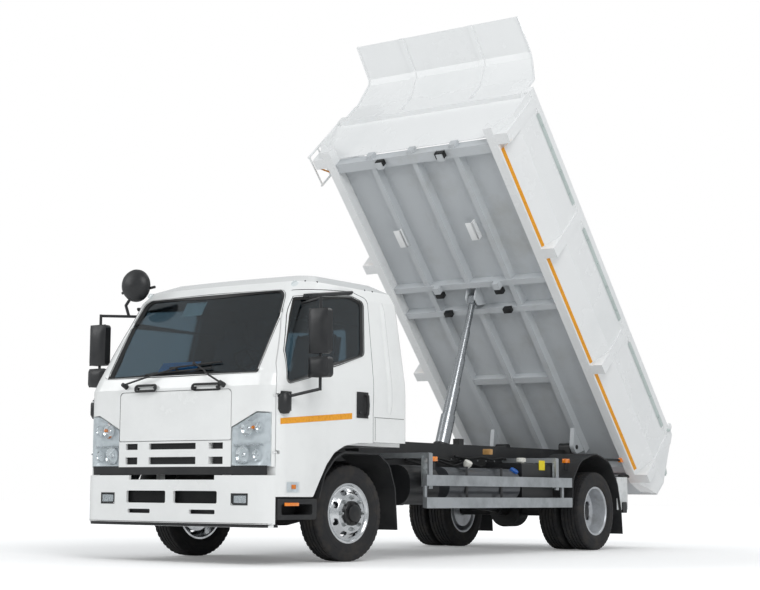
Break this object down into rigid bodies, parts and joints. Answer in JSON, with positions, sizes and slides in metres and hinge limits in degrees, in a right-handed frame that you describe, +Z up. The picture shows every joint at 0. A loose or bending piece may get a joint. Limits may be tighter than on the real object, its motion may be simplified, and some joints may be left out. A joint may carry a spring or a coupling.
{
  "type": "dump truck",
  "caption": "Medium-duty cab-over truck whose steel tipping bed is held raised by a telescopic under-body hoist, with twin rear wheels.",
  "frame": {"origin": "on the ground, in the middle of the outer box's plan", "axes": "+X the truck's left, -Y its front, +Z up"},
  "size_m": [2.8, 7.3613, 5.6231],
  "materials": {
    "white_paint": "gloss white two-pack paint",
    "chassis_black": "semi-gloss black chassis paint",
    "black_plastic": "grained black polypropylene",
    "grey_plastic": "grained grey plastic",
    "guard_grey": "anodised aluminium profile",
    "bare_iron": "rough cast iron, black",
    "spring_steel": "black scaled spring steel",
    "tyre_rubber": "matt black tyre rubber",
    "polished_wheel": "polished disc wheel",
    "silver_wheel": "silver wheel paint",
    "clear_glass": "toughened glass",
    "lamp_glass": "clear polycarbonate over a reflector",
    "hoist_black": "black paint",
    "hoist_chrome": "hard chrome",
    "seat_cloth": "woven grey cloth"
  },
  "bodies": {
    "chassis": {"chassis_rails": "chassis_black", "cross_members": "chassis_black", "sub_frame": "chassis_black", "front_axle": "bare_iron", "leaf_springs": "spring_steel", "rear_axle": "bare_iron", "engine": "bare_iron", "propshaft": "chassis_black", "fuel_tank": "chassis_black", "air_tank": "chassis_black", "hydraulic_tank": "chassis_black", "battery_box": "black_plastic", "silencer": "bare_iron", "front_bumper": "white_paint", "cab_steps": "black_plastic", "front_mudguards": "black_plastic", "side_guards": "guard_grey", "rear_mudguards": "black_plastic", "rear_underrun": "chassis_black"},
    "cab": {"cab_shell": "white_paint", "cab_glass": "clear_glass", "headlamps": "lamp_glass", "grille": "white_paint", "dashboard": "grey_plastic", "seats": "seat_cloth"},
    "front_panel": {"front_panel": "white_paint"},
    "left_door": {"left_door": "white_paint", "left_door_glass": "clear_glass", "left_mirrors": "black_plastic"},
    "right_door": {"right_door": "white_paint", "right_door_glass": "clear_glass", "right_mirrors": "black_plastic"},
    "steering_wheel": {"steering_wheel": "black_plastic"},
    "left_knuckle": {"left_knuckle": "bare_iron"},
    "right_knuckle": {"right_knuckle": "bare_iron"},
    "track_rod": {"track_rod": "chassis_black"},
    "front_left_wheel": {"front_left_tyre": "tyre_rubber", "front_left_wheel": "polished_wheel"},
    "front_right_wheel": {"front_right_tyre": "tyre_rubber", "front_right_wheel": "polished_wheel"},
    "rear_left_wheels": {"rear_left_tyres": "tyre_rubber", "rear_left_wheels": "silver_wheel"},
    "rear_right_wheels": {"rear_right_tyres": "tyre_rubber", "rear_right_wheels": "silver_wheel"},
    "bed": {"bed_underframe": "white_paint", "bed_floor": "white_paint", "bed_left_side": "white_paint", "bed_right_side": "white_paint", "bed_headboard": "white_paint", "bed_ladder": "white_paint"},
    "tailgate": {"tailgate": "white_paint"},
    "hoist_barrel": {"hoist_barrel": "hoist_black"},
    "hoist_stage_1": {"hoist_stage_1": "hoist_chrome"},
    "hoist_stage_2": {"hoist_stage_2": "hoist_chrome"},
    "hoist_stage_3": {"hoist_stage_3": "hoist_chrome"},
    "hoist_stage_4": {"hoist_stage_4": "hoist_chrome"},
    "hoist_stage_5": {"hoist_stage_5": "hoist_chrome"}
  },
  "joints": [
    {"name": "cab_tilt", "type": "hinge", "parent": "chassis", "child": "cab", "pos_m": [0, -3.5413, 0.88], "axis": [1, 0, 0], "range_deg": [0, 45]},
    {"name": "left_door_swing", "type": "hinge", "parent": "cab", "child": "left_door", "pos_m": [1.054, -3.5413, 1.37], "axis": [0, 0, -1], "range_deg": [0, 70]},
    {"name": "right_door_swing", "type": "hinge", "parent": "cab", "child": "right_door", "pos_m": [-1.054, -3.5413, 1.37], "axis": [0, 0, 1], "range_deg": [0, 70]},
    {"name": "front_panel_lift", "type": "hinge", "parent": "cab", "child": "front_panel", "pos_m": [0, -3.6773, 1.455], "axis": [-1, 0, 0], "range_deg": [0, 75]},
    {"name": "steering_wheel_turn", "type": "hinge", "parent": "cab", "child": "steering_wheel", "pos_m": [0.5, -3.1313, 1.69], "axis": [0, 0.6428, 0.766], "range_deg": [-620, 900]},
    {"name": "left_steer", "type": "hinge", "parent": "chassis", "child": "left_knuckle", "pos_m": [0.73, -2.3913, 0.419], "axis": [0, 0, 1], "range_deg": [-31, 45]},
    {"name": "right_steer", "type": "hinge", "parent": "chassis", "child": "right_knuckle", "pos_m": [-0.73, -2.3913, 0.419], "axis": [0, 0, 1], "range_deg": [-31, 45]},
    {"name": "track_rod_swing", "type": "hinge", "parent": "left_knuckle", "child": "track_rod", "pos_m": [0.75072, -2.22257, 0.359], "axis": [0, 0, 1], "range_deg": [-45, 31]},
    {"name": "front_left_roll", "type": "hinge", "parent": "left_knuckle", "child": "front_left_wheel", "pos_m": [0.8769, -2.40934, 0.419], "axis": [0.9925, -0.1219, 0], "continuous": true},
    {"name": "front_right_roll", "type": "hinge", "parent": "right_knuckle", "child": "front_right_wheel", "pos_m": [-0.8769, -2.37326, 0.419], "axis": [0.9925, -0.1219, 0], "continuous": true},
    {"name": "rear_left_roll", "type": "hinge", "parent": "chassis", "child": "rear_left_wheels", "pos_m": [0.849, 1.9887, 0.419], "axis": [1, 0, 0], "continuous": true},
    {"name": "rear_right_roll", "type": "hinge", "parent": "chassis", "child": "rear_right_wheels", "pos_m": [-0.849, 1.9887, 0.419], "axis": [1, 0, 0], "continuous": true},
    {"name": "bed_lift", "type": "hinge", "parent": "chassis", "child": "bed", "pos_m": [0, 2.5607, 1.133], "axis": [-1, 0, 0], "range_deg": [-48.1, 0]},
    {"name": "tailgate_swing", "type": "hinge", "parent": "bed", "child": "tailgate", "pos_m": [0, 3.57175, 1.39124], "axis": [1, 0, 0], "range_deg": [0, 60]},
    {"name": "hoist_swing", "type": "hinge", "parent": "chassis", "child": "hoist_barrel", "pos_m": [0, 0.4917, 0.85], "axis": [-1, 0, 0], "range_deg": [-23.2, 0]},
    {"name": "hoist_slide_1", "type": "slide", "parent": "hoist_barrel", "child": "hoist_stage_1", "axis": [0, 0.3677, 0.9299], "range_m": [-0.3323, 0]},
    {"name": "hoist_slide_2", "type": "slide", "parent": "hoist_stage_1", "child": "hoist_stage_2", "axis": [0, 0.3677, 0.9299], "range_m": [-0.3323, 0]},
    {"name": "hoist_slide_3", "type": "slide", "parent": "hoist_stage_2", "child": "hoist_stage_3", "axis": [0, 0.3677, 0.9299], "range_m": [-0.3323, 0]},
    {"name": "hoist_slide_4", "type": "slide", "parent": "hoist_stage_3", "child": "hoist_stage_4", "axis": [0, 0.3677, 0.9299], "range_m": [-0.3323, 0]},
    {"name": "hoist_slide_5", "type": "slide", "parent": "hoist_stage_4", "child": "hoist_stage_5", "axis": [0, 0.3677, 0.9299], "range_m": [-0.3323, 0]}
  ],
  "couplings": [
    {"joint": "right_steer", "follows": "left_steer", "ratio": 1},
    {"joint": "track_rod_swing", "follows": "left_steer", "ratio": -1},
    {"joint": "steering_wheel_turn", "follows": "left_steer", "ratio": 18},
    {"joint": "hoist_swing", "follows": "bed_lift", "ratio": 0.4792},
    {"joint": "hoist_slide_1", "follows": "bed_lift", "m_per_rad": 0.39518},
    {"joint": "hoist_slide_2", "follows": "bed_lift", "m_per_rad": 0.39518},
    {"joint": "hoist_slide_3", "follows": "bed_lift", "m_per_rad": 0.39518},
    {"joint": "hoist_slide_4", "follows": "bed_lift", "m_per_rad": 0.39518},
    {"joint": "hoist_slide_5", "follows": "bed_lift", "m_per_rad": 0.39518}
  ]
}
